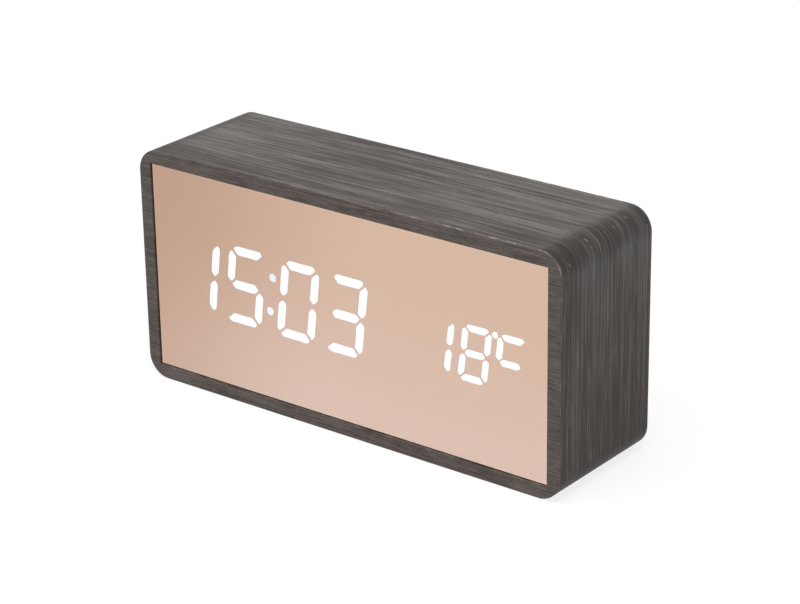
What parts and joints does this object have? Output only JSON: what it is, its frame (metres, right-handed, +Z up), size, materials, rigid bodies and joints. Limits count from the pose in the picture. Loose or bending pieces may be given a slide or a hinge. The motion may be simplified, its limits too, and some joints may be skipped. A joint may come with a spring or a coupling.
{
  "type": "digital desk clock",
  "caption": "Rounded black wood-veneer box clock with a copper half-mirror front, white seven-segment time and temperature, rear keys, power socket and hinged battery door.",
  "frame": {"origin": "middle of the underside, on the table", "axes": "+X to the viewer's right along the width, +Y from the front to the rear, +Z up"},
  "size_m": [0.15, 0.044, 0.0725],
  "materials": {
    "black_veneer": "black stained open-grain veneer, satin",
    "fibreboard": "raw fibreboard",
    "batten_wood": "sawn softwood",
    "copper_mirror": "half-silvered copper mirror",
    "adhesive_tape": "black foam tape",
    "reflector_plastic": "black moulded plastic",
    "lit_resin": "clear diffusing resin, lit white",
    "unlit_resin": "clear diffusing resin, unlit",
    "led_chip": "white light-emitting chip",
    "circuit_board": "green solder mask",
    "screw_steel": "zinc plated",
    "black_screw": "black plated",
    "chip_epoxy": "black epoxy with tinned leads",
    "ceramic": "chip resistor",
    "cover_plastic": "black moulded plastic, fine texture",
    "key_plastic": "black moulded plastic, satin",
    "cell_jacket": "lacquered cell jacket",
    "contact_steel": "nickel plated spring steel",
    "socket_steel": "tinned shell",
    "switch_plastic": "switch housing",
    "buzzer_plastic": "sounder can",
    "capsule_metal": "microphone capsule",
    "sensor_bead": "epoxy bead",
    "header_plastic": "natural nylon",
    "ribbon_sleeve": "grey ribbon cable",
    "red_lead": "red insulation",
    "black_lead": "black insulation",
    "capacitor_can": "aluminium can"
  },
  "bodies": {
    "clock_case": {"veneer_wrap": "black_veneer", "front_edge_veneer": "black_veneer", "rear_edge_veneer": "black_veneer", "case_core": "fibreboard", "corner_battens": "batten_wood", "mirror_panel": "copper_mirror", "mirror_tape": "adhesive_tape", "display_reflector": "reflector_plastic", "time_segments_lit": "lit_resin", "time_segments_unlit": "unlit_resin", "colon_dots": "lit_resin", "temperature_segments_lit": "lit_resin", "temperature_segments_unlit": "unlit_resin", "degree_dot": "lit_resin", "segment_leds": "led_chip", "display_board": "circuit_board", "display_screws": "screw_steel", "reflector_screws": "screw_steel", "driver_chip": "chip_epoxy", "display_resistors": "ceramic", "rear_cover": "cover_plastic", "cover_screws": "black_screw", "upper_cell": "cell_jacket", "middle_cell": "cell_jacket", "lower_cell": "cell_jacket", "contact_plates": "contact_steel", "battery_springs": "contact_steel", "control_board": "circuit_board", "control_board_screws": "screw_steel", "usb_socket": "socket_steel", "usb_tongue": "switch_plastic", "buzzer": "buzzer_plastic", "microphone": "capsule_metal", "temperature_sensor": "sensor_bead", "coin_holder": "switch_plastic", "coin_cell": "contact_steel", "coin_clip": "contact_steel", "clock_chip": "chip_epoxy", "clock_crystal": "capsule_metal", "capacitor": "capacitor_can", "ribbon_header_front": "header_plastic", "ribbon_header_rear": "header_plastic", "ribbon_cable": "ribbon_sleeve", "battery_lead_positive": "red_lead", "battery_lead_negative": "black_lead", "set_switch_body": "switch_plastic", "up_switch_body": "switch_plastic", "down_switch_body": "switch_plastic"},
    "set_key": {"set_button": "key_plastic", "set_switch_plunger": "switch_plastic"},
    "up_key": {"up_button": "key_plastic", "up_switch_plunger": "switch_plastic"},
    "down_key": {"down_button": "key_plastic", "down_switch_plunger": "switch_plastic"},
    "door": {"battery_door": "cover_plastic"}
  },
  "joints": [
    {"name": "door_hinge", "type": "hinge", "parent": "clock_case", "child": "door", "pos_m": [0, 0.019, 0.01985], "axis": [-1, 0, 0], "range_deg": [0, 90]},
    {"name": "set_press", "type": "slide", "parent": "clock_case", "child": "set_key", "axis": [0, -1, 0], "range_m": [0, 0.0005], "stiffness_N_per_m": 400},
    {"name": "up_press", "type": "slide", "parent": "clock_case", "child": "up_key", "axis": [0, -1, 0], "range_m": [0, 0.0005], "stiffness_N_per_m": 400},
    {"name": "down_press", "type": "slide", "parent": "clock_case", "child": "down_key", "axis": [0, -1, 0], "range_m": [0, 0.0005], "stiffness_N_per_m": 400}
  ]
}
